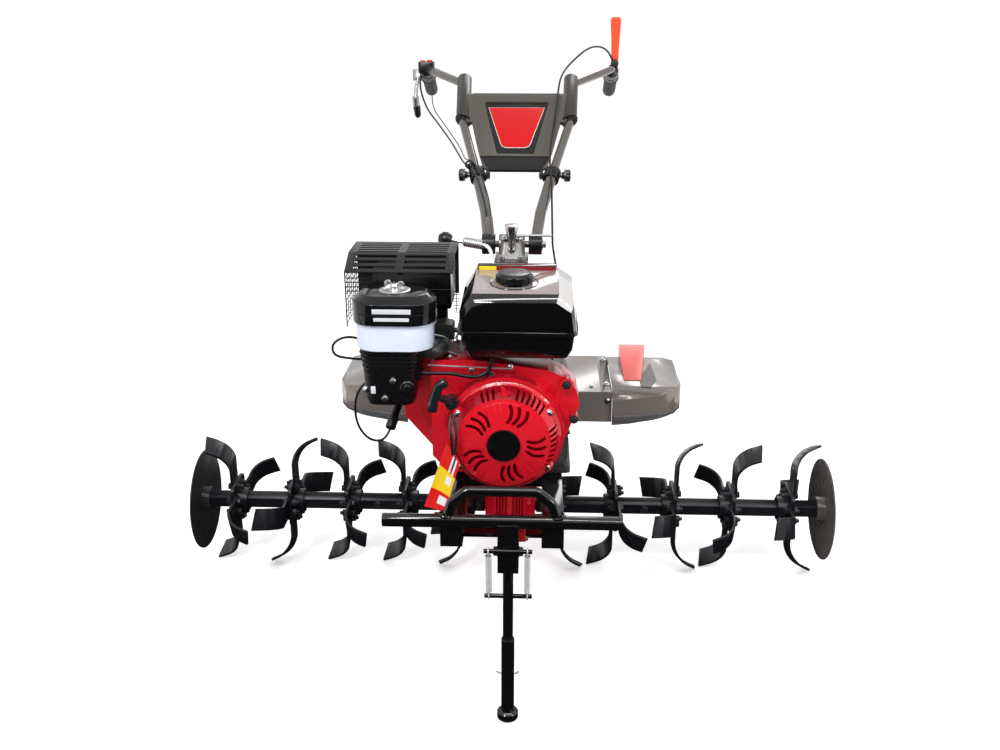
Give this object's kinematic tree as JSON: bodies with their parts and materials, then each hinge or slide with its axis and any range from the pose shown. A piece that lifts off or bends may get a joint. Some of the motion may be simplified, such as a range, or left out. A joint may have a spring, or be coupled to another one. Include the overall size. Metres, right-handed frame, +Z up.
{
  "type": "rotavator",
  "caption": "Walk-behind petrol rotavator with a front stand, an open air-cooled engine, a wide rotor of curved tines with end discs, fenders and a tilting handlebar.",
  "frame": {"origin": "on the floor, under the middle of the machine's overall box", "axes": "+X to the right seen from the front, along the tine rotor; +Y from the front stand back to the handlebar; +Z up"},
  "size_m": [1.562, 1.4908, 1.306],
  "materials": {
    "black_paint": "gloss",
    "red_paint": "gloss",
    "cast_grey": "matte",
    "black_plastic": "satin",
    "tank_black": "gloss",
    "white_plastic": "matte",
    "bare_metal": "satin",
    "grey_plastic": "satin",
    "red_plastic": "satin",
    "tine_steel": "satin",
    "disc_grey": "satin",
    "zinc": "satin",
    "grey_paint": "satin",
    "grip_rubber": "matte",
    "orange_plastic": "gloss",
    "black_rubber": "satin"
  },
  "bodies": {
    "machine": {"bumper": "black_paint", "carburettor": "bare_metal", "clutch_housing": "cast_grey", "crankcase": "cast_grey", "cylinder": "cast_grey", "engine_cables": "black_rubber", "fan_cover": "red_paint", "fender_insert_left": "red_plastic", "fender_insert_right": "red_plastic", "fender_plate_left": "grey_plastic", "fender_plate_right": "grey_plastic", "fender_wing_left": "grey_plastic", "fender_wing_right": "grey_plastic", "filter_base": "black_plastic", "filter_lid": "black_plastic", "filter_ring": "white_plastic", "frame": "black_paint", "fuel_cap": "black_plastic", "fuel_hose": "black_rubber", "fuel_tank": "tank_black", "gear_case": "red_paint", "handlebar_column": "cast_grey", "muffler": "black_paint", "muffler_guard": "black_paint", "rear_hitch": "black_paint", "recoil_cover": "red_paint", "recoil_emblem": "black_plastic", "recoil_grip": "black_plastic", "shift_lever": "black_paint", "stand_bracket": "black_paint", "valve_cover": "black_paint"},
    "rotor": {"guard_disc_left": "disc_grey", "guard_disc_right": "disc_grey", "rotor_axle": "tine_steel", "rotor_tube_left": "tine_steel", "rotor_tube_right": "tine_steel", "tine_set_left_1": "tine_steel", "tine_set_left_2": "tine_steel", "tine_set_left_3": "tine_steel", "tine_set_left_4": "tine_steel", "tine_set_left_5": "tine_steel", "tine_set_right_1": "tine_steel", "tine_set_right_2": "tine_steel", "tine_set_right_3": "tine_steel", "tine_set_right_4": "tine_steel", "tine_set_right_5": "tine_steel"},
    "stand": {"stand_leg": "black_paint", "stand_foot": "black_paint"},
    "stand_springs": {"stand_spring_left": "zinc", "stand_spring_right": "zinc"},
    "handlebar": {"cable_left": "black_rubber", "cable_right": "black_rubber", "clutch_lever": "bare_metal", "control_pod": "black_plastic", "dash_panel": "grey_plastic", "grip_left": "grip_rubber", "grip_right": "grip_rubber", "handlebar": "grey_paint", "safety_lever": "orange_plastic"},
    "stake": {"depth_stake": "black_paint"}
  },
  "joints": [
    {"name": "rotor_spin", "type": "hinge", "parent": "machine", "child": "rotor", "pos_m": [0, -0.12134, 0.17127], "axis": [1, 0, 0], "continuous": true},
    {"name": "stand_fold", "type": "hinge", "parent": "machine", "child": "stand", "pos_m": [0, -0.71334, 0.371], "axis": [1, 0, 0], "range_deg": [0, 86]},
    {"name": "spring_swing", "type": "hinge", "parent": "machine", "child": "stand_springs", "pos_m": [0, -0.73534, 0.383], "axis": [1, 0, 0], "range_deg": [0, 70]},
    {"name": "handlebar_tilt", "type": "hinge", "parent": "machine", "child": "handlebar", "pos_m": [0, -0.08134, 0.821], "axis": [1, 0, 0], "range_deg": [-12, 15]},
    {"name": "stake_slide", "type": "slide", "parent": "machine", "child": "stake", "axis": [0, 0, 1], "range_m": [-0.14, 0.1]}
  ],
  "couplings": [
    {"joint": "spring_swing", "follows": "stand_fold", "ratio": 0.808}
  ]
}
